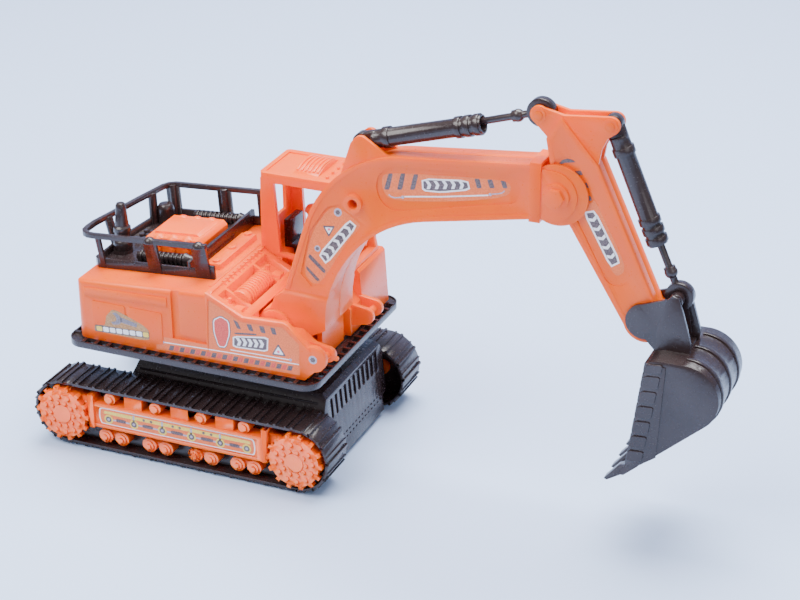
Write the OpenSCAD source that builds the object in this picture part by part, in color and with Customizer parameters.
// Toy crawler excavator, moulded plastic, as separate pieces with working joints.
// Frame: +X forwards along the boom, +Y to the cab side, +Z up.
// The origin is on the slewing axis, on the ground.

/* [Tracks] */
// Distance between the two sprocket centres of a track
track_base = 136; // [128:1:140]
// Centre of the track ahead of the slewing axis
track_x = -5; // [-7:0.5:-3]
// Height of the sprocket centres
sprocket_z = 19.7; // [19.5:0.1:20.2]
// Outer radius of the track band, without its ribs
band_r = 17.8; // [17.5:0.1:17.9]
// Distance from the middle to the outer edge of a track
track_out = 61; // [60:0.5:62]
// Distance from the middle to the inner edge of a track
track_in = 37.7; // [37.7:0.1:38]

/* [Turntable] */
// Half length of the turntable plate
plate_x = 72.2; // [71:0.1:72.5]
// Half width of the turntable plate
plate_y = 56.7; // [56:0.1:58]
// Underside of the turntable plate
plate_z = 57.8; // [57.8:0.1:58]

/* [House] */
// Half width of the house
house_y = 52; // [51.5:0.5:52.5]
// Rear face of the house
house_rear = -66.8; // [-67.5:0.1:-66]
// Wall thickness of the large mouldings
wall = 2; // [1.8:0.1:2.2]

/* [Boom] */
// Middle plane of the boom, stick and bucket
arm_y = -17; // [-17.4:0.1:-16.8]
// Half width of the boom at its foot
foot_half = 17; // [16.6:0.1:17]
// Half width of the boom along its upper arm
arm_half = 8.3; // [8.2:0.1:8.5]
// Boom foot pivot, ahead of the slewing axis
boom_px = 41; // [40.8:0.1:41.2]
// Boom foot pivot, height
boom_pz = 79; // [78.8:0.1:79.2]
// Radius of the outer bend of the boom
bend_out = 58.3; // [57:0.1:59]
// Radius of the inner bend of the boom
bend_in = 62; // [60:0.5:63]

/* [Bucket] */
// Half width of the bucket
bucket_half = 22; // [21:0.5:23]
// Number of bucket teeth
teeth = 4; // [3:1:5]

/* [Hidden] */

orange = [1.0, 0.45, 0.2];
black = [0.16, 0.15, 0.17];
steel = [0.7, 0.7, 0.72];
e = 0.01;
$fn = 40;

// Chassis
chassis_y = 33;
web_in = 52;
web_out = 53.5;
base_z = 2;
axle_z = 9;
wheel_r = 9;
wheel_y = 25.5;
front_axle_x = 56;
rear_axle_x = -33;
axle_r = 1.5;
post_r = 7.5;
post_fit = 0.06;
plate_top = plate_z + 4;
house_z = plate_top;
slope_deg = 4;

// Arm geometry, in the plane of the arm: x, z
stick_p = [186.4, 171.5];
bucket_p = [231.6, 113.8];
cyl1_base = [83.5, 181.3];
cyl1_pin = [175.4, 209.5];
cyl2_base = [210.5, 208.7];
cyl2_pin = [246.6, 127];
stick_half = 6.2;
pin_fit = 0.06;
boss_hole = [82.1, 151.5];

// Points of an arc from angle a0 to a1 round a centre
function arc(c, r, a0, a1, n = 16) =
    [for (i = [0:n]) [c[0] + r * cos(a0 + (a1 - a0) * i / n), c[1] + r * sin(a0 + (a1 - a0) * i / n)]];
// Distance and direction between two points of the arm's plane
function span(a, b) = norm(b - a);
function aim(a, b) = atan2(b[1] - a[1], b[0] - a[0]);

// Extrudes a side profile, drawn in x and z, from y0 to y1
module side(y0, y1) {
    translate([0, y1, 0]) rotate([90, 0, 0]) linear_extrude(y1 - y0) children();
}
// Extrudes a front profile, drawn in y and z, from x0 to x1
module front(x0, x1) {
    translate([x0, 0, 0]) rotate([90, 0, 90]) linear_extrude(x1 - x0) children();
}
// Box between two corners
module box(a, b) {
    translate(a) cube(b - a);
}
// Rounded rectangle between two corners
module rrect(a, b, r) {
    translate([a[0] + r, a[1]]) square([b[0] - a[0] - 2 * r, b[1] - a[1]]);
    translate([a[0], a[1] + r]) square([b[0] - a[0], b[1] - a[1] - 2 * r]);
    for (x = [a[0] + r, b[0] - r], y = [a[1] + r, b[1] - r]) translate([x, y]) circle(r);
}
// Round bar across the machine, its middle line at x and z, from y0 to y1
module bar(p, r, y0, y1) {
    translate([p[0], y1, p[1]]) rotate([90, 0, 0]) cylinder(r = r, h = y1 - y0);
}
// Self-tapping screw, head up, shank down from z = 0
module screw(head_r, head_h, shank_r, shank_h) {
    difference() {
        cylinder(r = head_r, h = head_h);
        translate([-head_r * 0.65, -0.35, head_h - 0.7]) cube([head_r * 1.3, 0.7, 1]);
        translate([-0.35, -head_r * 0.65, head_h - 0.7]) cube([0.7, head_r * 1.3, 1]);
    }
    translate([0, 0, -shank_h]) cylinder(r = shank_r, h = shank_h + e);
}

// ---- Tracks ----
module stadium(r) {
    for (s = [-1, 1]) translate([s * track_base / 2, 0]) circle(r, $fn = 72);
    square([track_base, 2 * r], center = true);
}
// One rib standing on the band at a distance s along it, w wide and h high
module rib(s, w, h) {
    half_turn = PI * band_r;
    run = track_base;
    q = s % (2 * (run + half_turn));
    if (q < run) translate([q - run / 2, -band_r]) rotate(180) translate([-w / 2, -e]) square([w, h + e]);
    else if (q < run + half_turn)
        rotate(0) translate([run / 2, 0]) rotate(-90 + 180 * (q - run) / half_turn)
            translate([band_r - e, -w / 2]) square([h + e, w]);
    else if (q < 2 * run + half_turn) translate([run / 2 - (q - run - half_turn), band_r])
        translate([-w / 2, -e]) square([w, h + e]);
    else translate([-run / 2, 0]) rotate(90 + 180 * (q - 2 * run - half_turn) / half_turn)
        translate([band_r - e, -w / 2]) square([h + e, w]);
}
peg_x = [-27, 43];
// Track of the left side, in its place: band, outer web and ribs in one moulding
module track() {
    pads = 40;
    pitch = 2 * (track_base + PI * band_r) / pads;
    translate([track_x, 0, sprocket_z]) {
        side(track_in, track_out) difference() {
            union() {
                stadium(band_r);
                for (i = [0:pads - 1]) {
                    rib(i * pitch + 2, 1.3, 0.9);
                    rib(i * pitch + 5.6, 0.9, 0.7);
                }
            }
            stadium(band_r - 1.4);
        }
        side(web_in, web_out) difference() {
            stadium(band_r - 1.3);
            for (s = [-1, 1]) translate([s * track_base / 2, 0]) circle(4.1);
            for (x = peg_x) translate([x - track_x, 0]) circle(1.5);
        }
    }
}

// One sprocket disc on the outer side of the web, centred on the origin, its back at y = 0
module sprocket() {
    bar([0, 0], 13.8, 0, 9.9);
    for (i = [0:13]) rotate([0, -i * 360 / 14, 0]) box([13, 6.3, -1.1], [15.7, 9.9, 1.1]);
    for (i = [0:11]) rotate([0, -i * 30 - 8, 0]) bar([10.6, 0], 1.15, 9.9 - e, 10.8);
    for (i = [0:9]) rotate([0, -i * 36, 0]) bar([6.9, 0], 0.95, 9.9 - e, 10.7);
    bar([0, 0], 5.2, 9.9 - e, 10.3);
}
// Moulded insert of the left track: sprockets, beam and rollers
module side_frame() {
    face = 61.5;
    for (s = [-1, 1]) translate([track_x + s * track_base / 2, web_out, sprocket_z]) sprocket();
    for (s = [-1, 1]) bar([track_x + s * track_base / 2, sprocket_z], 4.1, web_in - 2, web_out + 0.1);
    // Beam with its raised frame and end flanges
    difference() {
        box([-56, web_out, 15], [46, face, 29.3]);
        box([-54.2, face - 0.7, 16.8], [41.3, face + 1, 27.3]);
    }
    box([-57.6, web_out, 14.3], [-54.5, face + 0.5, 33.5]);
    box([44.2, web_out, 15], [47, face + 0.5, 34]);
    // Necks from the beam to the sprockets
    box([-64, web_out, 15], [-57, face - 2, 31]);
    box([46.9, web_out, 15], [54, face - 2, 31]);
    // Carrier rollers and blocks on top
    for (x = [-45, -18, 8.7, 33.6]) {
        bar([x, 32.5], 3.3, web_out, face - 1);
        bar([x, 32.5], 1.8, face - 1.1, face + 0.1);
    }
    for (x = [-31.1, -3.6, 22.5]) box([x - 5.1, web_out, 29], [x + 5.1, face - 0.9, 35.6]);
    // Track rollers in pairs below
    for (x = [-49, -39.4, -22.8, -13, 4.2, 13.7, 29, 38.5]) {
        bar([x, 9.6], 4.1, web_out, face - 1.4);
        bar([x, 9.6], 2.7, face - 1.5, face - 0.5);
        bar([x, 9.6], 1.4, face - 0.6, face + 0.3);
    }
    for (x = [-44.2, -17.9, 9, 33.8]) box([x - 6, web_out, 9], [x + 6, face - 3, 16]);
}
module left_track() {
    color(black) track();
}
module right_track() {
    color(black) mirror([0, 1, 0]) track();
}
module left_side_frame() {
    color(orange) side_frame();
}
module right_side_frame() {
    color(orange) mirror([0, 1, 0]) side_frame();
}

// ---- Chassis ----
module chassis_side(inset) {
    polygon([[-46 + inset, base_z + 2], [71.6 - inset, base_z + 2], [68.2 - inset, 42.4 - inset / 2],
        [65.6 - inset, 45 - inset], [-41 + inset, 45 - inset], [-44 + inset, 37]]);
}
module chassis_front(inset) {
    for (s = [-1, 1]) scale([s, 1]) polygon([[0, base_z + 2], [32.2 - inset, base_z + 2], [32.2 - inset, 12.4],
        [37 - inset, 14 + inset], [37.3 - inset, 37], [chassis_y - inset, 45 - inset], [0, 45 - inset]]);
}
screw_xy = [[-12, -24], [-12, 24], [36, -24], [36, 24]];
module chassis_frame() {
    color(black) difference() {
        union() {
            difference() {
                intersection() {
                    side(-40, 40) chassis_side(0);
                    front(-60, 80) chassis_front(0);
                }
                intersection() {
                    side(-40, 40) chassis_side(wall);
                    front(-60, 80) chassis_front(wall);
                }
                box([-43.9, -30.2, base_z + 1], [69.5, 30.2, base_z + 3]);
            }
            // Slewing pedestal and post
            translate([0, 0, 43 - e]) cylinder(r = 24, h = 8.7, $fn = 72);
            translate([0, 0, 43 - e]) cylinder(r = post_r, h = plate_top + 1.6 - 43 + e);
            // Screw posts for the base
            for (p = screw_xy) translate([p[0], p[1], base_z + 2]) cylinder(r = 3, h = 42 - base_z);
            // Axle saddles
            for (x = [front_axle_x, rear_axle_x], y = [-14, 14])
                box([x - 4, y - 1.5, axle_z + 1.58], [x + 4, y + 1.5, 44]);
            // Arms that reach into the track shells, each with a peg for the web
            for (s = [-1, 1]) {
                for (x = peg_x) {
                    box([x - 13, s > 0 ? 36 : -web_in, 10], [x + 13, s > 0 ? web_in : -36, 30]);
                    bar([x, sprocket_z], 1.5, s > 0 ? web_in - e : -web_out, s > 0 ? web_out : -web_in + e);
                }
                // Step line of the shoulder
                box([-40, s > 0 ? 34.6 : -36.2, 39.6], [64, s > 0 ? 36.2 : -34.6, 40.6]);
            }
        }
        // Louvres across the front and the rows of dashes below them
        for (i = [0:10]) translate([64, -28.5 + i * 5.7, 0]) front(0, 8) rrect([-1.2, 29], [1.2, 40.5], 1.15);
        for (i = [0:14], z = [11.4, 14.2]) box([70, -27.8 + i * 4, z], [74, -25.8 + i * 4, z + 0.9]);
        // Holes for the slew screw and the base screws
        translate([0, 0, 40]) cylinder(r = 1.6, h = 30);
        for (p = screw_xy) translate([p[0], p[1], base_z]) cylinder(r = 1.2, h = 22);
    }
}
module chassis_base() {
    color(black) difference() {
        union() {
            difference() {
                box([-43.8, -30, base_z], [70.6, 30, base_z + 2]);
                for (x = [front_axle_x, rear_axle_x], s = [-1, 1])
                    box([x - 9.6, s * wheel_y - 4.2, base_z - 1], [x + 9.6, s * wheel_y + 4.2, base_z + 3]);
            }
            for (x = [front_axle_x, rear_axle_x], y = [-14, 14])
                box([x - 4, y - 1.5, base_z + 2 - e], [x + 4, y + 1.5, axle_z + 1.5]);
        }
        for (x = [front_axle_x, rear_axle_x]) {
            bar([x, axle_z], axle_r + pin_fit, -30, 30);
            box([x - axle_r - pin_fit, -20, axle_z], [x + axle_r + pin_fit, 20, axle_z + 3]);
        }
        for (p = screw_xy) translate([p[0], p[1], base_z - e]) {
            cylinder(r = 1.6, h = 3);
            cylinder(r = 3, h = 1.2);
        }
        // Air slots of the underside
        for (i = [-2:2]) box([i * 6 + 8, -10, base_z - 1], [i * 6 + 10.4, 10, base_z + 3]);
    }
}
module chassis_screws() {
    color(steel) for (p = screw_xy) translate([p[0], p[1], base_z + 1.1]) rotate([180, 0, 0]) screw(2.8, 1.1, 1.2, 14);
}
module axle(x) {
    color(steel) bar([x, axle_z], axle_r, -28.6, 28.6);
}
module front_axle() {
    axle(front_axle_x);
}
module rear_axle() {
    axle(rear_axle_x);
}
module wheel(x, s) {
    color(black) translate([x, s * wheel_y, axle_z]) rotate([90, 0, 0]) difference() {
        rotate_extrude($fn = 60) polygon([[axle_r, -3.5], [4, -3.5], [4, -2.4], [6.6, -2.4], [6.6, -3.5],
            [wheel_r - 0.6, -3.5], [wheel_r, -2.9], [wheel_r, 2.9], [wheel_r - 0.6, 3.5], [6.6, 3.5],
            [6.6, 2.4], [4, 2.4], [4, 3.5], [axle_r, 3.5]]);
        for (a = [0:60:300]) rotate(a) translate([5.3, 0, -4]) cylinder(r = 0.9, h = 8);
    }
}
module front_right_wheel() {
    wheel(front_axle_x, -1);
}
module front_left_wheel() {
    wheel(front_axle_x, 1);
}
module rear_right_wheel() {
    wheel(rear_axle_x, -1);
}
module rear_left_wheel() {
    wheel(rear_axle_x, 1);
}
module slew_washer() {
    color(steel) translate([0, 0, plate_top + 1.6]) difference() {
        cylinder(r = 12, h = 1.2);
        translate([0, 0, -1]) cylinder(r = 1.7, h = 4);
    }
}
module slew_screw() {
    color(steel) translate([0, 0, plate_top + 2.8]) screw(3.4, 2, 1.6, 14);
}

// ---- Turntable ----
house_screw_xy = [[-52, -40], [-52, 40], [24, -44], [40, 34]];
rim_pitch = 7.2;
module rim_cells(w) {
    for (i = [-8:8], s = [-1, 1]) translate([i * rim_pitch, s * (plate_y - 2.7)]) square([w, 3.8], center = true);
    for (i = [-6:6], s = [-1, 1]) translate([s * (plate_x - 2.7), i * rim_pitch]) square([3.8, w], center = true);
}
module turntable_plate() {
    color(black) difference() {
        union() {
            // Plate with a row of square pits round its rim
            translate([0, 0, plate_z + 0.6]) linear_extrude(2.2) difference() {
                rrect([-plate_x, -plate_y], [plate_x, plate_y], 9);
                rim_cells(3.8);
            }
            // Outer lip, and the blocks between the pits
            translate([0, 0, plate_z]) linear_extrude(plate_top - plate_z - 0.5) difference() {
                rrect([-plate_x, -plate_y], [plate_x, plate_y], 9);
                rrect([-plate_x + 0.8, -plate_y + 0.8], [plate_x - 0.8, plate_y - 0.8], 8.2);
            }
            translate([0, 0, plate_z]) linear_extrude(plate_top - plate_z) intersection() {
                difference() {
                    rrect([-plate_x + 0.3, -plate_y + 0.3], [plate_x - 0.3, plate_y - 0.3], 8.7);
                    rrect([-plate_x + 4.6, -plate_y + 4.6], [plate_x - 4.6, plate_y - 4.6], 4.4);
                }
                translate([rim_pitch / 2, 0]) union() {
                    for (i = [-9:8]) translate([i * rim_pitch, 0]) square([2, 130], center = true);
                    for (i = [-7:6]) translate([-rim_pitch / 2, (i + 0.5) * rim_pitch]) square([160, 2], center = true);
                }
            }
            // Slewing ring and hub sleeve
            translate([0, 0, 52]) difference() {
                cylinder(r = 22, h = plate_z - 51, $fn = 72);
                translate([0, 0, -1]) cylinder(r = 19, h = plate_z - 50.2, $fn = 72);
            }
            translate([0, 0, 52]) cylinder(r = 11, h = plate_top + 1.3 - 52);
            // Raised step under the house
            translate([0, 0, plate_top - 1.2]) linear_extrude(1.2) difference() {
                rrect([house_rear, -house_y], [64, house_y], 5);
                rrect([house_rear + 4, -house_y + 4], [60, house_y - 4], 3);
            }
        }
        translate([0, 0, 50]) cylinder(r = post_r + post_fit, h = 20);
        for (p = house_screw_xy) translate([p[0], p[1], plate_z - e]) cylinder(r = 1.7, h = 6);
    }
}
module house_screws() {
    color(steel) for (p = house_screw_xy) translate([p[0], p[1], plate_z + 0.6]) rotate([180, 0, 0]) screw(3, 1.4, 1.4, 13);
}

// ---- House ----
top_rear = 95.1;
// Height of the sloping top of the house at x
function top_at(x) = top_rear + (x - house_rear) * tan(slope_deg);
boom_x0 = 33;
far_y = 17;
module house_profile(inset) {
    polygon([[house_rear + inset, house_z - (inset > 0 ? 1 : 0)], [13 - inset, house_z - (inset > 0 ? 1 : 0)],
        [13 - inset, top_at(13) - inset], [house_rear + 2.4 + inset, top_at(house_rear) - inset],
        [house_rear + inset, top_at(house_rear) - 3 - inset]]);
}
module panel_profile() {
    difference() {
        union() {
            polygon([[10, house_z], [65, house_z], [70.5, 67.6], [75, 79], [68.8, 79], [56.6, 90.6], [54, 92],
                [31, 90.8], [10.5, 101]]);
            translate([69.8, 74.4]) circle(7);
        }
        translate([73, 60.4]) circle(6.4);
    }
}
module lug(y0, y1, r) {
    side(y0, y1) {
        translate([73.4, 73.4]) circle(r);
        polygon([[62, 66], [73.4, 73.4 - r], [74.6, 73.4 + r - 0.2], [62, 79.6]]);
    }
}
module engine_bay() {
    // Sloping block with the ribbed filter between two cells
    slope = [[11, house_z], [boom_x0, house_z], [boom_x0, 89], [31, 90.4], [10.5, 101]];
    cell = [[15.4, 104], [15.4, 94.6], [29.4, 86.8], [29.4, 104]];
    difference() {
        side(-50 + e, 10.8) polygon(slope);
        side(10.8 - e, far_y) polygon([[11, house_z], [boom_x0, house_z], [boom_x0, 89], [31, 90.4], [25, 93], [11, 93]]);
        box([9, -48, house_z - 1], [26, far_y - wall, 76]);
        box([15.4, -38, 82], [29.4, -8, 110]);
        side(-47.8, -39.8) polygon(cell);
        side(-6.2, 6.8) polygon(cell);
    }
    for (y = [-45.6, -42, -3, 1.4]) translate([19, y, 91]) cylinder(r = 1.1, h = 4);
    for (y = [-44.6, 0]) box([23, y - 2.6, 86], [28, y + 2.6, 92]);
    // Ribbed filter lying across
    bar([22.4, 92.2], 4.6, -38.4, -7.6);
    for (i = [0:9]) bar([22.4, 92.2], 5.4, -33 + i * 2.4, -31.7 + i * 2.4);
    bar([22.4, 92.2], 5.4, -38.4, -35);
    box([15.2, -38.4, 82 - e], [29.5, -7.6, 84]);
    box([20, -38.4, 83], [25, -7.6, 89]);
}
module house_shell() {
    color(orange) difference() {
        union() {
            difference() {
                intersection() {
                    side(-60, 60) house_profile(0);
                    rotate_top() front(-80, 22) polygon(concat([[-house_y - 1, -45], [house_y + 1, -45],
                        [house_y + 1, -3.6]], arc([house_y - 3.5, -3.6], 3.6, 0, 90, 8),
                        arc([3.5 - house_y, -3.6], 3.6, 90, 180, 8), [[-house_y - 1, -3.6]]));
                    translate([0, 0, 50]) linear_extrude(70) rrect([house_rear, -house_y], [40, house_y], 6);
                }
                intersection() {
                    side(-60, 60) house_profile(wall);
                    box([-80, -house_y + wall, 50], [20, house_y - wall, 94]);
                }
                box([-60, -34, 60], [8, 34, 97]);
            }
            // Roof under the engine deck, stepped by the slope
            rotate_top() box([-60, -35, -2.2], [8, 35, 0]);
            // Raised shoulder band and door on the near side
            for (s = [-1, 1]) {
                side(min(s * (house_y - 0.3), s * (house_y + 0.7)), max(s * (house_y - 0.3), s * (house_y + 0.7)))
                    polygon([[-60.6, 86.6], [-12, 88.6], [-12, 94], [-60.6, 91.6]]);
                for (x = [-57, -35.4])
                    side(min(s * (house_y - 0.3), s * (house_y + 0.5)), max(s * (house_y - 0.3), s * (house_y + 0.5)))
                    rrect([x, 66.4], [x + 20, 84.6], 1.5);
            }
            // Near side panel with its lug
            side(-house_y, -house_y + 3) panel_profile();
            side(-house_y - 0.5, -house_y + 1) difference() {
                polygon([[10.6, 67.4], [10.5, 101], [31, 90.8], [54, 92], [56.6, 90.6], [68.8, 79], [67.4, 77.6], [55.6, 88.8],
                    [53.6, 90.2], [30.6, 89], [12, 98.2]]);
            }
            engine_bay();
            // Floor of the boom well, front wall and side blocks
            box([boom_x0 - e, -house_y + 2, house_z], [63, far_y, house_z + 2]);
            box([61.6, -29, house_z], [64.4, -3, 79]);
            difference() {
                side(-49.1, -37.2) polygon([[46, house_z], [66, house_z], [66, 77], [58, 82.8], [46, 82.8]]);
                box([48, -47.4, 60], [64, -39, 74]);
            }
            difference() {
                side(2.2, far_y) polygon([[boom_x0 - e, house_z], [66, house_z], [66, 77], [58, 84], [boom_x0 - e, 86]]);
                box([31, 4.2, 60], [64, far_y - 1.6, 74]);
            }
            // Bearing bosses of the boom pivot
            bar([boom_px, boom_pz], 6.4, -49.1, -36.4);
            box([boom_px - 4, -49.1, house_z], [boom_px + 4, -39, boom_pz]);
            bar([boom_px, boom_pz], 6.4, 2.6, 4.4);
            // Lugs of the front
            lug(-42.4, -40, 4.2);
            lug(4.6, 7, 4.6);
            lug(16, 18.4, 4.6);
            bar([73.4, 73.4], 1.8, -49.2, -42.2);
            bar([73.4, 73.4], 1.8, 6.9, 16.1);
            bar([78, 71.6], 1, -42, -40.4);
            box([74, -42, 70.6], [78, -40.4, 72.6]);
            bar([69.8, 74.4], 5.2, -49.1, -47.6);
            // Cab base
            difference() {
                side(far_y, 50.5) polygon([[11, house_z], [67, house_z], [65, 91.6], [63.6, 93], [24, 93], [22, 96.4],
                    [11, 96.4]]);
                box([9, far_y + wall, 60], [63, 48.5, 74]);
                box([24, far_y + wall, 76], [62.4, 48.5, 100]);
            }
            box([11, 11, 90], [23, far_y + 1, 96.4]);
            // Raised bar with round studs and the rib in front of the deck
            rotate_top() {
                box([-4.3, -23, -2], [4.4, 19, 3]);
                for (y = [-18.4, -0.6, 18.3]) translate([0.2, y - 0.8, 2.9]) cylinder(r = 2.2, h = 1.1);
                box([8.2, -44, -2], [10.2, 12, 0.7]);
            }
            // Screw posts
            for (p = house_screw_xy) translate([p[0], p[1], house_z]) cylinder(r = 3.4, h = 12.3);
            for (s = [-1, 1]) box([-53, s > 0 ? 40 : -50.5, house_z], [-51, s > 0 ? 50.5 : -40, house_z + 12]);
            box([23, -49, house_z], [25, -44, house_z + 12]);
        }
        // Clearance round the boom foot
        bar([boom_px, boom_pz], 12.2, -37.2, 2.4);
        // Vent slots along the top of the slope
        for (i = [0:10]) translate([11.6, -37 + i * 4.1, 100.4]) rotate([0, 27.2, 0]) box([0, 0, -0.9], [3.2, 1.6, 3]);
        // Panel grooves of the side
        for (s = [-1, 1]) {
            box([-9.8, min(s * (house_y - 1.2), s * (house_y + 2)), 71.4], [-5.1, max(s * (house_y - 1.2), s * (house_y + 2)), 99]);
            box([-9.8, min(s * (house_y - 1.2), s * (house_y + 2)), 71.4], [9.9, max(s * (house_y - 1.2), s * (house_y + 2)), 74.5]);
        }
        // Seat of the cab and clearance for the slewing washer
        box([cab_x0 - e, cab_y0 - e, 96.4], [80, cab_y1 + 1, 110]);
        box([10, -13, house_z - 1], [13.4, 13, 67]);
        // Bore of the boom pivot
        bar([boom_px, boom_pz], 3 + pin_fit, -50.4, 14);
        for (p = house_screw_xy) translate([p[0], p[1], house_z - 1]) cylinder(r = 1.4, h = 12);
        // Air slots of the rear wall
        for (i = [0:7]) box([house_rear - 1, -31.5 + i * 8, 70], [house_rear + 0.8, -26.5 + i * 8, 86]);
    }
}
// Places a piece on the sloping top: z = 0 is the surface, x as in the house
module rotate_top() {
    translate([0, 0, top_at(0)]) rotate([0, -slope_deg, 0]) children();
}

// ---- Engine deck ----
deck_y = 35.5;
deck_far = 38.6;
rail_z = 17.7;
stack_p = [-56.8, -16.8];
// Outline of the tray, open to the front at x1, and of the rail; d is the inset
function tray(d, x1) = [[x1, d - deck_y], [-61.5 + d, d - deck_y], [-64 + d, d / 2 - 33], [-64.5 + d, 2],
    [-62 + d, 24 - d / 4], [-58 + d, 36 - d / 2], [-55.4 + d / 2, deck_far - d], [x1, deck_far - d]];
rail_outer = [[5.6, -39], [-61, -39], [-64.4, -38.5], [-67.6, -36.6], [-69.6, -33.5], [-70.3, -29], [-70.2, -22],
    [-67.8, -9], [-63.2, 16.5], [-59.6, 34.3], [-57.4, 38], [-53.4, 40], [5.6, 40]];
rail_inner = [[6, -36.4], [-60.8, -36.4], [-63.6, -36], [-65.8, -34.6], [-67.1, -32.4], [-67.6, -28.8], [-67.5, -22.2],
    [-65.2, -9.5], [-60.6, 16], [-57.2, 33.2], [-55.6, 36.2], [-52.9, 37.4], [6, 37.4]];
module deck_post(x0, x1) {
    // Flat post of the near side that leans out from the skirt to the rail, with a domed head
    translate([0, 0.8 - deck_y, 0.3]) rotate([9, 0, 0]) box([x0, -0.8, 0], [x1, 0.8, rail_z + 0.9]);
}
module far_post(x) {
    translate([x, deck_far - 1.1, 0.4]) {
        box([-4, -0.8, 0], [4, 0.8, rail_z + 0.4]);
        cylinder(r = 2.3, h = rail_z + 1.2);
    }
}
module stack_place() {
    translate([stack_p[0], stack_p[1], top_at(stack_p[0])]) children();
}
module engine_deck() {
    color(black) difference() {
        union() {
            rotate_top() deck_body();
            // Socket of the exhaust
            stack_place() translate([0, 0, 0.8]) cylinder(r = 5.2, h = 2.8);
        }
        stack_place() translate([0, 0, 2.3]) cylinder(r = 3.4, h = 5);
    }
}
module deck_body() {
    // Tray: floor, skirt and front wall
    linear_extrude(1.6) polygon(tray(0, -6));
    difference() {
        linear_extrude(5) polygon(tray(0, 5.6));
        translate([0, 0, -1]) linear_extrude(8) polygon(tray(1.6, 8));
    }
    box([-7.8, -deck_y + 0.1, 0], [-6, deck_far - 0.1, 8.6]);
    for (y = [0.1 - deck_y, deck_far - 1.5]) box([4.6, y, 0], [7.6, y + 1.4, 7.4]);
    translate([0, 0, rail_z]) linear_extrude(2.5) difference() {
        polygon(rail_outer);
        polygon(rail_inner);
    }
    deck_post(-59.6, -56.8);
    deck_post(-30.8, -23.4);
    deck_post(-3, 5.3);
    far_post(-54.6);
    far_post(-22.8);
    box([-3, deck_far - 1.45, 0.4], [5.3, deck_far - 0.1, rail_z + 0.4]);
    // Domed heads of the near posts
    for (x = [-27.1, 1.2]) translate([x, -37.7, rail_z + 0.6]) rotate_extrude() intersection() {
        circle(3.1);
        square([4, 4]);
    }
    // Rear posts
    for (q = [[-63.5, -12, -10], [-60.9, 24, 3]]) translate([q[0], q[1], 0.7]) rotate([0, q[2], 0]) {
        box([-0.8, -3, 0], [0.8, 3, rail_z + 0.6]);
        cylinder(r = 2.4, h = rail_z + 0.8);
    }
    // Air filter with a domed lid
    translate([-54.4, 27, 1]) cylinder(r = 4.7, h = 8);
    translate([-54.4, 27, 8.9]) rotate_extrude() intersection() {
        circle(4.7);
        square([4.7, 3.2]);
    }
    // Ribbed hoses along both sides
    for (q = [[0, -24.5], [2.8, 33]]) translate([q[0], q[1], 0]) {
        translate([-43, 0, 4.2]) rotate([0, 90, 0]) cylinder(r = 2.3, h = 30);
        for (i = [0:9]) translate([-41 + i * 2.6, 0, 4.2]) rotate([0, 90, 0]) cylinder(r = 3.2, h = 1.3);
        translate([-15, 0, 4.2]) rotate([0, 90, 0]) cylinder(r1 = 3.8, r2 = 1.6, h = 6);
        box([-43, -1.4, 1], [-10, 1.4, 4]);
    }
    // Small valves behind the cover
    for (i = [0:2], j = [0:1]) translate([-56 + j * 4, -3 + i * 5, 1]) cylinder(r = 1.5, h = 3.4);
}
module exhaust_stack() {
    color(black) stack_place() translate([0, 0, 2.3]) rotate_extrude() polygon([[0, 0], [3.34, 0], [3.34, 1.3],
        [5, 1.3], [5, 5], [4.7, 6], [4.1, 6.8], [4.1, 11], [4.6, 11.4], [4.6, 13.8], [3.7, 14.8], [2.7, 26],
        [2.1, 27.2], [0, 27.6]]);
}
module engine_cover() {
    color(orange) rotate_top() {
        difference() {
            side(-14, 17) polygon([[-45.5, 1.6], [-11.5, 1.6], [-11.5, 8], [-13.5, 10.4], [-43.5, 10.4], [-45.5, 8]]);
            box([-43.5, -12, 0], [-13.5, 15, 7]);
        }
        side(-8, 12) polygon([[-42.5, 10.3], [-14.5, 10.3], [-16.5, 11.6], [-40.5, 11.6]]);
        for (i = [0:2], y = [-11.6, 14.4]) translate([-37 + i * 8.6, y, 7.8]) rotate_extrude() difference() {
            circle(4);
            translate([-10, -5]) square([10, 10]);
        }
        for (i = [0:2]) translate([-37 + i * 8.6, -13.9, 4]) rotate([90, 0, 0]) cylinder(r = 1.8, h = 1.2);
    }
}

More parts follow.
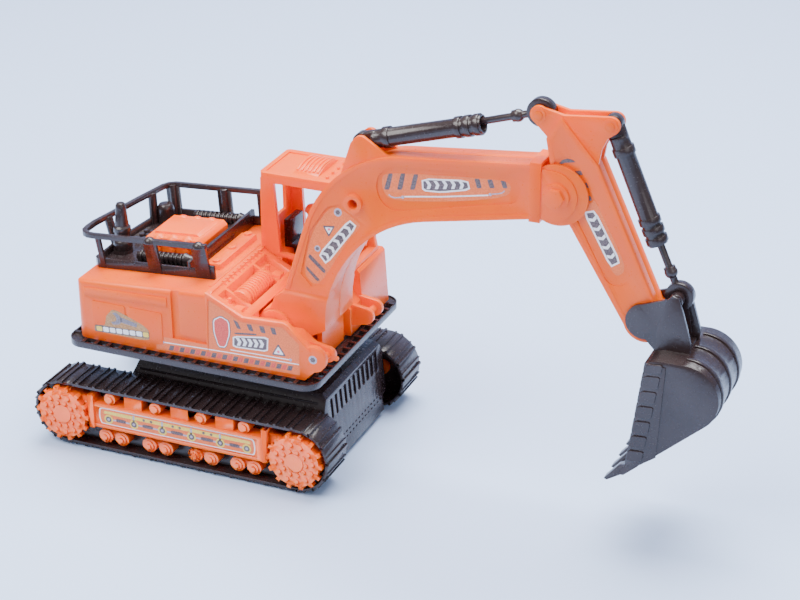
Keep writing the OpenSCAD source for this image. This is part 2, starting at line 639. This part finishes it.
// ---- Cab ----
cab_x0 = 11;
cab_x1 = 62;
cab_y0 = 11;
cab_y1 = 46;
roof_z = 140;
module cab() {
    color(orange) {
        // Near rear post, rear wall and far rear post
        side(cab_y0, cab_y0 + 3) polygon([[cab_x0, 96.4], [22, 96.4], [18.6, roof_z], [cab_x0 + 0.6, roof_z]]);
        difference() {
            box([cab_x0, cab_y0 + 3 - e, 96.4], [cab_x0 + 2, cab_y1, roof_z]);
            box([cab_x0 - 1, cab_y0 + 9, 112], [cab_x0 + 3, cab_y1 - 8, 132]);
        }
        side(cab_y1 - 2.4, cab_y1) polygon([[cab_x0, 96.4], [21, 96.4], [19, roof_z], [cab_x0, roof_z]]);
        // Front posts
        for (y = [cab_y0, cab_y1 - 3]) side(y, y + 3)
            polygon([[cab_x1 - 4, 95], [cab_x1 + 1, 95], [cab_x1 - 7, roof_z], [cab_x1 - 11.6, roof_z]]);
        // Sills on the cab base
        box([23.4, cab_y1 - 3, 93], [cab_x1 + 1, cab_y1, 95.4]);
        box([cab_x1 - 3, cab_y0, 93], [cab_x1 + 1, cab_y1, 95.4]);
        side(cab_y0, cab_y0 + 2.4) polygon([[21, 96.4], [cab_x1, 93], [cab_x1, 95.4], [21, 98.8]]);
        // Roof with its skirt and a sunk panel
        difference() {
            translate([0, 0, roof_z - 2.4]) linear_extrude(5.4) rrect([cab_x0, cab_y0], [55.4, cab_y1], 2.6);
            translate([0, 0, roof_z - 3]) linear_extrude(4.2) rrect([cab_x0 + 1.8, cab_y0 + 2.9], [53, cab_y1 - 2.4], 0.8);
            box([cab_x0 + 2.6, cab_y0 + 3, roof_z + 2.2], [25.5, cab_y1 - 3.4, roof_z + 5]);
        }
        // Ribbed roof hatch, arched across
        front(28.6, 42.8) polygon(concat([[15.4, roof_z + 2], [15.4, roof_z + 3]],
            arc([28.5, roof_z - 24], 29.9, 113, 67, 14), [[41.6, roof_z + 3], [41.6, roof_z + 2]]));
        for (i = [0:5]) front(29.4 + i * 2.3, 30.7 + i * 2.3) polygon(concat([[17.4, roof_z + 2]],
            arc([28.5, roof_z - 24], 30.7, 110, 70, 12), [[39.6, roof_z + 2]]));
        for (i = [0:3]) translate([48, 16 + i * 7, roof_z + 2.9]) cylinder(r = 0.9, h = 1.4);
    }
}
module driver() {
    color(orange) translate([32.6, 31, 0]) {
        translate([0, 0, 94.6]) cylinder(r = 6.2, h = 15);
        translate([0, 0, 109]) cylinder(r1 = 6.2, r2 = 2.4, h = 3);
        translate([0, 0, 115.4]) sphere(4.2);
        translate([0, 0, 115.8]) cylinder(r = 4.7, h = 1.2);
        box([0, -5.6, 94.6], [14, -1, 99]);
        box([0, 1, 94.6], [14, 5.6, 99]);
        for (s = [-1, 1]) translate([2, s * 6.4, 106]) rotate([0, 68, 0]) cylinder(r = 1.7, h = 12);
    }
}
module driver_seat() {
    color(black) {
        // Floor, seat box with its back, and the dash with two levers
        box([24.3, 22, 76], [54, 40, 78]);
        difference() {
            box([24.3, 23.6, 76], [44, 38.4, 94.6]);
            box([26.3, 25, 75], [42, 37, 92]);
        }
        box([18.6, 23.6, 96.4], [22.6, 38.4, 112]);
        box([18.6, 23.6, 96.4], [26.3, 38.4, 98.6]);
        box([24.3, 23.6, 90], [26.3, 38.4, 98.6]);
        box([50, 22, 76], [54, 40, 97]);
        for (y = [26, 36]) translate([50.6, y, 96.6]) rotate([0, -12, 0]) cylinder(r = 0.9, h = 8);
    }
}
module boom_pivot_pin() {
    color(steel) bar([boom_px, boom_pz], 3, -50, 13.6);
}

// ---- Boom ----
out_dir = 74.6;
top_dir = 6.1;
low_dir = 10.8;
function u(a) = [cos(a), sin(a)];
// Centres of the two bends
out_c = [111.9, 120.8];
in_c = [68.6 + bend_in, 86.9];
collar_x = 173;
function boom_line(d) = concat(
    [[68.6 - d, 82 + d], [68.6 - d, 86.9]],
    arc(in_c, bend_in + d, 180, 100.8, 18),
    [[collar_x + 3, 158.2 + d], [collar_x + 3, 185.8 - d]],
    arc(out_c, bend_out - d, 96.1, 164.6, 18),
    [[45.9 + d, 100.6], [40.3 + d, 96 + d / 2], [36.6 + d, 86]]);
module boom_outline(d) {
    polygon(boom_line(d));
}
module boom_foot(d) {
    translate([boom_px, boom_pz]) circle(11 - d);
    polygon([[boom_px + 4, boom_pz - 10 + d], [68.6 - d, 82], [68.6 - d, 90], [60, 101], [45.9 + d, 100], [40.3 + d, 96],
        [36.6 + d, 85], [33 + d, 80]]);
}
// Front profile of the boom: wide at the foot, narrow along the arm
module boom_width(t) {
    f = foot_half - t;
    a = arm_half - t;
    translate([arm_y, 0]) polygon([[-f, 60], [f, 60], [f, 99], [f - 0.9, 100.4], [a, 160], [a, 200], [-a, 200], [-a, 160],
        [-f + 0.9, 100.4], [-f, 99]]);
}
module boom_body(s) {
    // One half: s = -1 is the near (right) half, s = 1 the far (left) half
    y0 = s < 0 ? -40 : arm_y;
    y1 = s < 0 ? arm_y : 5;
    intersection() {
        difference() {
            side(-40, 6) union() {
                boom_outline(0);
                boom_foot(0);
            }
            // Hollow inside
            intersection() {
                side(-40, 6) union() {
                    boom_outline(1.8);
                    boom_foot(1.8);
                    polygon([[36, 60], [66.8, 60], [66.8, 84], [50, 90]]);
                }
                front(20, 174) boom_width(1.8);
            }
            // Room for the stick to swing between the ears
            bar(stick_p, 16.6, arm_y - stick_half - 0.3, arm_y + stick_half + 0.3);
        }
        front(20, 200) boom_width(0);
        box([0, y0, 50], [220, y1, 220]);
    }
}
module boom_rims(s) {
    // Raised rim along the outline of the outer face
    intersection() {
        side(-40, 6) difference() {
            boom_outline(0);
            boom_outline(2.6);
        }
        front(20, 173) translate([arm_y, 0]) difference() {
            polygon([[-foot_half + 0.5, 100], [foot_half - 0.5, 100], [arm_half + 0.4, 160], [arm_half + 0.4, 200],
                [-arm_half - 0.4, 200], [-arm_half - 0.4, 160]]);
            polygon([[-foot_half + 2, 99], [foot_half - 2, 99], [arm_half - 1, 160], [arm_half - 1, 201],
                [-arm_half + 1, 201], [-arm_half + 1, 160]]);
        }
        box([0, s < 0 ? -60 : arm_y, 101.5], [220, s < 0 ? arm_y : 20, 220]);
    }
}
boom_bosses = [[60, 118, 13.2], [104, 163, 7.4], [150, 171, 7.4]];
module boom_half(s) {
    f = arm_half + 0.9;
    y_out = arm_y + s * f;
    difference() {
        union() {
            boom_body(s);
            boom_rims(s);
            // Hub on the outer side of the foot
            bar([boom_px, boom_pz], 10, min(arm_y + s * foot_half, arm_y + s * (foot_half + 2)),
                max(arm_y + s * foot_half, arm_y + s * (foot_half + 2)));
            bar([boom_px, boom_pz], 7, min(arm_y, arm_y + s * foot_half), max(arm_y, arm_y + s * foot_half));
            // Collar before the stick
            difference() {
                box([collar_x, min(y_out, arm_y), 156.6], [collar_x + 5.6, max(y_out, arm_y), 187]);
                box([collar_x - 1, min(arm_y + s * (arm_half - 2), arm_y), 158.4],
                    [collar_x + 6, max(arm_y + s * (arm_half - 2), arm_y), 184.8]);
            }
            // Ear that holds the stick
            side(min(arm_y + s * (stick_half + 0.3), y_out - s * 0.6), max(arm_y + s * (stick_half + 0.3), y_out - s * 0.6)) {
                translate([184, 171.2]) circle(12.6, $fn = 60);
                translate([collar_x + 6, 158.6]) square([5, 25.2]);
            }
            // Thin disc behind the ear
            side(min(arm_y + s * (stick_half + 0.3), arm_y + s * 7.6), max(arm_y + s * (stick_half + 0.3), arm_y + s * 7.6))
                translate(stick_p) circle(15.4, $fn = 60);
            // Round collar of the pivot on the ear
            bar(stick_p, 6.6, min(y_out - s * 0.7, y_out + s * 0.9), max(y_out - s * 0.7, y_out + s * 0.9));
            // Bracket plate of the stick cylinder
            side(min(arm_y + s * 4.9, arm_y + s * 6.9), max(arm_y + s * 4.9, arm_y + s * 6.9)) {
                translate([85, 182.2]) circle(4);
                polygon([[73, 162], [79.6, 182], [81.6, 184.6], [87.4, 185.4], [101, 177], [100, 170]]);
            }
            // Tube of the cross hole
            bar(boss_hole, 4.8, min(arm_y, arm_y + s * 11.4), max(arm_y, arm_y + s * 11.4));
            // Screw bosses inside
            for (p = boom_bosses) bar(p, 3, min(arm_y, arm_y + s * p[2]), max(arm_y, arm_y + s * p[2]));
        }
        // Recessed panels of the outer face
        boom_panels(s);
        bar(boss_hole, 2.6, -60, 60);
        bar([boom_px, boom_pz], 3 + pin_fit, -60, 60);
        bar(stick_p, 3 + pin_fit, min(arm_y, arm_y + s * 8.4), max(arm_y, arm_y + s * 8.4));
        bar(cyl1_base, 2 + pin_fit, min(arm_y, arm_y + s * 5.9), max(arm_y, arm_y + s * 5.9));
        for (p = boom_bosses) {
            bar(p, 1.1, arm_y - 5, arm_y + 1);
            if (s > 0) bar(p, 1.5, arm_y - 1, arm_y + 40);
            if (s > 0) bar(p, 2.6, arm_y + p[2] - 1, arm_y + 40);
        }
        // Seam groove along the top
        if (s > 0) side(arm_y - 0.3, arm_y + 0.5) difference() {
            boom_outline(-1);
            boom_outline(0.5);
        }
    }
}
// Long rounded recesses of the outer face
module boom_panels(s) {
    difference() {
        side(min(arm_y + s, arm_y + s * 40), max(arm_y + s, arm_y + s * 40)) {
            polygon(concat(arc([105, 162.3], 11.3, 95, 282.5, 20), arc([161, 171], 7.6, -77.5, 95, 16)));
            polygon([[54.4, 110.8], [60.5, 104.9], [66.8, 106.4], [78.6, 128.3], [88.6, 141.2], [84.6, 143.6],
                [73.8, 149.6], [67.4, 147.4], [58.7, 133.5]]);
        }
        front(10, 210) boom_width(0.7);
    }
}
module boom_shell_right() {
    color(orange) {
        boom_half(-1);
        // Hexagon cap of the stick pivot
        translate([stick_p[0], arm_y - arm_half - 1.7, stick_p[1]]) rotate([90, 0, 0]) cylinder(r = 4.7, h = 2.2, $fn = 6);
    }
}
module boom_shell_left() {
    color(orange) {
        boom_half(1);
        translate([stick_p[0], arm_y + arm_half + 3.9, stick_p[1]]) rotate([90, 0, 0]) cylinder(r = 4.7, h = 2.2, $fn = 6);
    }
}
module boom_screws() {
    color(steel) for (p = boom_bosses) translate([p[0], arm_y + p[2] - 1, p[1]]) rotate([-90, 0, 0]) screw(2.4, 1.3, 1.1, p[2] + 3);
}
module stick_pivot_pin() {
    color(steel) bar(stick_p, 3, arm_y - 8.3, arm_y + 8.3);
}

// ---- Stick ----
module stick_outline(d) {
    polygon([[182 + d, 187], [179.8 + d, 199 - d / 2], [186.8, 210 - d * 1.5], [205.6 - d, 189 - d / 2],
        [240.2 - d, 114], [240, 109], [223.4 + d, 106.4 + d / 2], [191 + d, 159.4]]);
    translate([231.4, 112.6]) circle(10.4 - d);
}
module head_plate() {
    translate(cyl1_pin) circle(4.4);
    translate(cyl2_base) circle(4.4);
    polygon([[175, 213.8], [188, 210.9], [210, 213.1], [213, 205.2], [209.4, 202.4], [206.4, 196], [205.2, 188], [182, 187], [179.6, 199.4],
        [171.6, 207.4]]);
}
module stick_half_shell(s) {
    lo = function(a, b) min(arm_y + s * a, arm_y + s * b);
    hi = function(a, b) max(arm_y + s * a, arm_y + s * b);
    difference() {
        union() {
            difference() {
                side(lo(0, stick_half), hi(0, stick_half)) stick_outline(0);
                side(lo(-1, stick_half - 1.8), hi(-1, stick_half - 1.8)) stick_outline(1.8);
            }
            // Raised rim round the outer face
            side(lo(stick_half - 0.5, stick_half + 0.1), hi(stick_half - 0.5, stick_half + 0.1)) difference() {
                stick_outline(0);
                stick_outline(2.6);
            }
            // Head plate that carries the two cylinder pins
            side(lo(2.9, 4.9), hi(2.9, 4.9)) head_plate();
            for (p = [cyl1_pin, cyl2_base]) bar(p, 3.6, lo(2.9, 5.4), hi(2.9, 5.4));
            // Pivot sleeves
            bar(stick_p, 6, lo(0, stick_half), hi(0, stick_half));
            bar(bucket_p, 6, lo(0, stick_half), hi(0, stick_half));
            for (p = stick_bosses) bar(p, 2.8, lo(0, 5), hi(0, 5));
        }
        bar(stick_p, 3 + pin_fit, arm_y - 20, arm_y + 20);
        bar(bucket_p, 2.5 + pin_fit, arm_y - 20, arm_y + 20);
        for (p = [cyl1_pin, cyl2_base]) bar(p, 2, arm_y - 20, arm_y + 20);
        // Inner gap between the head plates, for the cylinder eyes
        side(arm_y - 2.9, arm_y + 2.9) {
            translate(cyl1_pin) circle(9.6);
            translate(cyl2_base) circle(9.6);
        }
        for (p = stick_bosses) {
            bar(p, 1.1, arm_y - 4, arm_y + 7);
            if (s > 0) bar(p, 1.5, arm_y - 1, arm_y + 40);
            if (s > 0) bar(p, 2.5, arm_y + 4.4, arm_y + 40);
        }
        // Recessed panel
        side(lo(stick_half - 0.5, 20), hi(stick_half - 0.5, 20)) translate([203.4, 160.3]) rotate(-61.5) rrect([-34.5, -6.6], [34.5, 6.6], 6.4);
    }
}
stick_bosses = [[193, 196], [206, 166], [222, 128]];
module stick_shell_right() {
    color(orange) stick_half_shell(-1);
}
module stick_shell_left() {
    color(orange) stick_half_shell(1);
}
module stick_screws() {
    color(steel) for (p = stick_bosses) translate([p[0], arm_y + 4.4, p[1]]) rotate([-90, 0, 0]) screw(2.3, 1.2, 1.1, 8);
}
module head_pin(p) {
    color(orange) {
        bar(p, 2, arm_y - 5.9, arm_y + 5.9);
    }
}
module stick_rear_pin() {
    head_pin(cyl1_pin);
}
module stick_front_pin() {
    head_pin(cyl2_base);
}
module bucket_pivot_pin() {
    color(steel) bar(bucket_p, 2.5, arm_y - 7.6, arm_y + 7.6);
}

// ---- Bucket ----
bowl_c = [256.4, 84.4];
bowl_r = 17.4;
lip = [226.2, 36.6];
heel = [237, 101.6];
module bowl(d) {
    low = aim([lip[0], lip[1]], bowl_c) - asin(bowl_r / span(lip, bowl_c));
    polygon(concat([[lip[0] - d, lip[1]], [lip[0] + 3, lip[1]]], arc(bowl_c, bowl_r - d, low - 90, 96, 26),
        [[heel[0] + 6, heel[1] - d], [heel[0] - (d > 0 ? 3 : 0), heel[1] - d - 2], [229.6 - d * 2, 42]]));
}
module bucket() {
    color(black) difference() {
        bucket_solid();
        bar(bucket_p, 2.5 + pin_fit, arm_y - 7.7, arm_y + 7.7);
    }
}
module bucket_solid() {
    w = bucket_half;
    union() {
        difference() {
            side(arm_y - w, arm_y + w) bowl(0);
            side(arm_y - w + 1.7, arm_y + w - 1.7) translate([-0.4, 0.4]) bowl(1.7);
            side(arm_y - w + 1.7, arm_y + w - 1.7) polygon([[215, 36.6], [227.4, 38.2], [240, 60], [236.6, 99.4], [220, 99.4]]);
            // Grooves of the side cutters
            for (i = [0:6], s = [-1, 1]) translate([236.2 - i * 1.1, arm_y + s * w, 95 - i * 8.4]) rotate([0, 8, 0])
                box([-4, -0.7, -0.8], [9, 0.7, 0.8]);
        }
        // Bands round the back
        for (y = [-14.6, 0, 14.6]) side(arm_y + y - 1.6, arm_y + y + 1.6) difference() {
            polygon(concat(arc(bowl_c, bowl_r + 0.8, -50, 92, 26), arc(bowl_c, bowl_r - 0.6, 92, -50, 26)));
        }
        // Side plates thickened along the lip
        for (s = [-1, 1]) side(min(arm_y + s * w, arm_y + s * (w + 0.6)), max(arm_y + s * w, arm_y + s * (w + 0.6)))
            polygon([[229.8, 44], [234, 42], [245, 50], [247.6, 99], [238, 100]]);
        // Teeth
        for (i = [0:teeth - 1]) translate([0, arm_y + (i - (teeth - 1) / 2) * 12, 0]) side(-2.7, 2.7)
            polygon([[219, 32], [220.6, 31.4], [232, 38.8], [231, 42.4], [226, 40]]);
        // Ears and bracket plates
        for (s = [-1, 1]) {
            side(min(arm_y + s * 6.6, arm_y + s * 8.4), max(arm_y + s * 6.6, arm_y + s * 8.4)) {
                translate(bucket_p) circle(9);
                polygon([[229.4, 122.4], [243, 127.6], [250, 116], [252, 100], [238, 99.6], [233, 104.9]]);
            }
            side(min(arm_y + s * 7.4, arm_y + s * 9.4), max(arm_y + s * 7.4, arm_y + s * 9.4))
                polygon([[238.4, 98], [238.6, 112], [243, 128], [245.4, 130.4], [248.6, 129.4], [255.6, 106.6],
                    [254.8, 99]]);
            side(min(arm_y + s * 3.2, arm_y + s * 8), max(arm_y + s * 3.2, arm_y + s * 8))
                translate(cyl2_pin) circle(3.4);
        }
        bar(cyl2_pin, 2.2, arm_y - 8, arm_y + 8);
        // Foot of the brackets on the bowl
        side(arm_y - 9.4, arm_y + 9.4) polygon([[237.4, 99.4], [255, 99.4], [254, 102.6], [238.6, 102.6]]);
    }
}

// ---- Cylinders ----
// Barrel along +X from its pivot eye at the origin
module barrel(body_l, eye_hole) {
    difference() {
        union() {
            translate([0, 2.6, 0]) rotate([90, 0, 0]) cylinder(r = 4.6, h = 5.2);
            translate([2, 0, 0]) rotate([0, 90, 0]) cylinder(r = 4.7, h = 6);
            translate([12, 0, 0]) rotate([0, 90, 0]) cylinder(r = 5.4, h = 3.6);
            translate([7, 0, 0]) rotate([0, 90, 0]) cylinder(r = 4.65, h = body_l - 7);
            for (i = [0:2]) translate([body_l - 14 + i * 5, 0, 0]) rotate([0, 90, 0]) cylinder(r = 5.4, h = 3);
        }
        // Side flats of the eye
        for (s = [-1, 1]) box([-7, s > 0 ? 2.6 : -8, -8], [6.4, s > 0 ? 8 : -2.6, 8]);
        rotate([90, 0, 0]) translate([0, 0, -8]) cylinder(r = eye_hole, h = 16);
        translate([12, 0, 0]) rotate([0, 90, 0]) cylinder(r = 3.9, h = body_l);
    }
}
// Rod along +X that ends in a ring round a pin, the pin at distance len
module rod(len, start, hole) {
    difference() {
        union() {
            translate([start, 0, 0]) rotate([0, 90, 0]) cylinder(r = 1.8, h = len - start - 5);
            translate([len - 15, 0, 0]) rotate([0, 90, 0]) cylinder(r = 2.9, h = 1.4);
            translate([len - 12.4, 0, 0]) rotate_extrude() intersection() {
                circle(3.2);
                translate([0, -4]) square([4, 8]);
            }
            translate([len, 2.3, 0]) rotate([90, 0, 0]) cylinder(r = 7, h = 4.6);
        }
        translate([len, 8, 0]) rotate([90, 0, 0]) cylinder(r = hole, h = 16);
        // Mouth of the snap ring
        translate([len, 0, 0]) rotate([0, 48, 0]) box([0, -4, -1.7], [9, 4, 1.7]);
    }
}
module place(a, b, droop) {
    translate([a[0], arm_y, a[1]]) rotate([0, -aim(a, b) + droop, 0]) children();
}
module stick_cylinder_barrel() {
    color(black) place(cyl1_base, cyl1_pin, 1.21) {
        barrel(65, 2 - e);
        rotate([90, 0, 0]) translate([0, 0, -5.8]) cylinder(r = 2, h = 11.6);
    }
}
module stick_cylinder_rod() {
    color(black) place(cyl1_base, cyl1_pin, 0) rod(span(cyl1_base, cyl1_pin), span(cyl1_base, cyl1_pin) - 49, 2.06);
}
module bucket_cylinder_barrel() {
    color(black) place(cyl2_base, cyl2_pin, 0.79) barrel(62, 2.06);
}
module bucket_cylinder_rod() {
    color(black) place(cyl2_base, cyl2_pin, 0) rod(span(cyl2_base, cyl2_pin), span(cyl2_base, cyl2_pin) - 50, 2.26);
}

chassis_frame();
chassis_base();
chassis_screws();
right_track();
left_track();
right_side_frame();
left_side_frame();
front_axle();
rear_axle();
front_right_wheel();
front_left_wheel();
rear_right_wheel();
rear_left_wheel();
slew_washer();
slew_screw();
turntable_plate();
house_shell();
house_screws();
engine_deck();
exhaust_stack();
engine_cover();
cab();
driver();
driver_seat();
boom_pivot_pin();
boom_shell_right();
boom_shell_left();
boom_screws();
stick_pivot_pin();
stick_shell_right();
stick_shell_left();
stick_screws();
stick_rear_pin();
stick_front_pin();
bucket_pivot_pin();
bucket();
stick_cylinder_barrel();
stick_cylinder_rod();
bucket_cylinder_barrel();
bucket_cylinder_rod();
